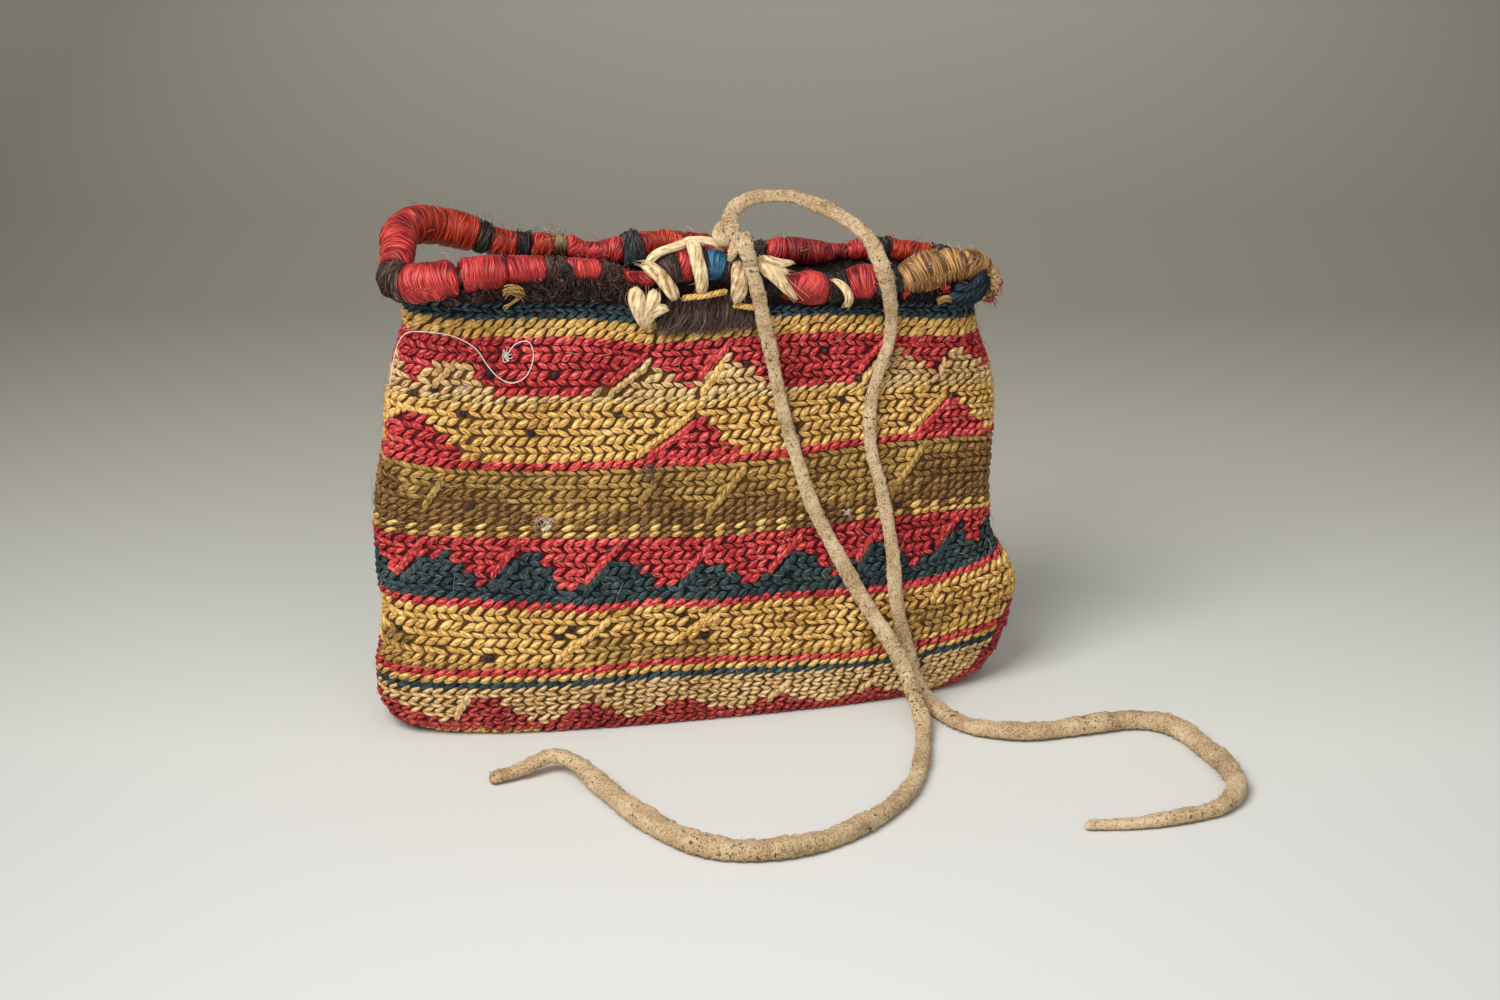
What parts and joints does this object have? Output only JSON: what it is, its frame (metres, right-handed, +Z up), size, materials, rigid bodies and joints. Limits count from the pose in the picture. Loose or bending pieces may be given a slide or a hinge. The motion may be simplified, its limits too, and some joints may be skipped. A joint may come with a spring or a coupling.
{
  "type": "tobacco pouch",
  "caption": "Small flat woven bag with banded wrapped-weft patterns, a yarn-wound rim, cotton lacing and a knotted hide thong with long tails that lie on the floor.",
  "frame": {"origin": "centre of the bag's footprint on the surface that it stands on", "axes": "+X to the right seen from the front, +Y to the back, +Z up to the mouth"},
  "size_m": [0.1886, 0.1174, 0.1287],
  "materials": {
    "weave": "wrapped weft in gold, crimson, teal, tan and olive yarn",
    "core": "plain cord",
    "yarn_crimson": "wound yarn",
    "yarn_dark_crimson": "wound yarn",
    "yarn_orange": "wound yarn",
    "yarn_brown": "shaggy wound wool",
    "yarn_black": "wound yarn",
    "yarn_blue": "wound yarn",
    "yarn_teal": "wound yarn",
    "yarn_camel": "wound yarn",
    "yarn_gold": "twisted yarn",
    "yarn_olive": "wound yarn",
    "cotton": "thick soft cotton yarn",
    "wool": "long loose wool",
    "hide": "soft tanned hide, unpolished",
    "thread": "fine thread"
  },
  "bodies": {
    "root": {"woven_bag": "weave", "rim_core": "core", "wrap_brown_corner": "yarn_brown", "wrap_crimson_front_1": "yarn_crimson", "wrap_crimson_front_2": "yarn_crimson", "wrap_crimson_front_3": "yarn_crimson", "wrap_brown_front_1": "yarn_brown", "wrap_crimson_front_4": "yarn_crimson", "wrap_brown_front_2": "yarn_brown", "wrap_crimson_thin": "yarn_crimson", "wrap_hump_brown_1": "yarn_brown", "wrap_hump_crimson": "yarn_crimson", "wrap_hump_brown_2": "yarn_brown", "wrap_hump_blue": "yarn_blue", "wrap_hump_brown_3": "yarn_brown", "wrap_dark_middle": "yarn_black", "wrap_crimson_bud": "yarn_crimson", "wrap_black_band": "yarn_black", "wrap_crimson_knot": "yarn_crimson", "wrap_teal_right": "yarn_teal", "wrap_camel_1": "yarn_camel", "wrap_camel_2": "yarn_camel", "wrap_camel_3": "yarn_camel", "wrap_back_brown_right": "yarn_brown", "wrap_back_orange_right": "yarn_orange", "wrap_back_black_right": "yarn_black", "wrap_back_crimson_right": "yarn_crimson", "wrap_back_dark_crimson": "yarn_dark_crimson", "wrap_back_crimson_small": "yarn_crimson", "wrap_back_dark_knob": "yarn_black", "wrap_back_crimson_middle": "yarn_crimson", "wrap_back_orange_middle": "yarn_orange", "wrap_back_teal": "yarn_teal", "wrap_back_crimson_left": "yarn_crimson", "wrap_back_olive": "yarn_olive", "wrap_back_orange_1": "yarn_orange", "wrap_back_black_1": "yarn_black", "wrap_back_orange_2": "yarn_orange", "wrap_back_black_2": "yarn_black", "wrap_back_orange_3": "yarn_orange", "wrap_back_orange_4": "yarn_orange", "wrap_crimson_upright": "yarn_crimson", "seam_front_left": "yarn_brown", "seam_front_right": "yarn_teal", "seam_back": "yarn_brown", "lacing_strand_left": "cotton", "lacing_strand_middle": "cotton", "lacing_strand_right": "cotton", "lacing_strand_top": "cotton", "lacing_fan": "cotton", "lacing_loop": "cotton", "lacing_tuft": "cotton", "gold_rope": "yarn_gold", "gold_tuft": "yarn_gold", "wool_patch": "wool", "thong_knot": "hide", "thong_tail_front": "hide", "thong_tail_back": "hide", "loose_thread": "thread"}
  },
  "joints": []
}
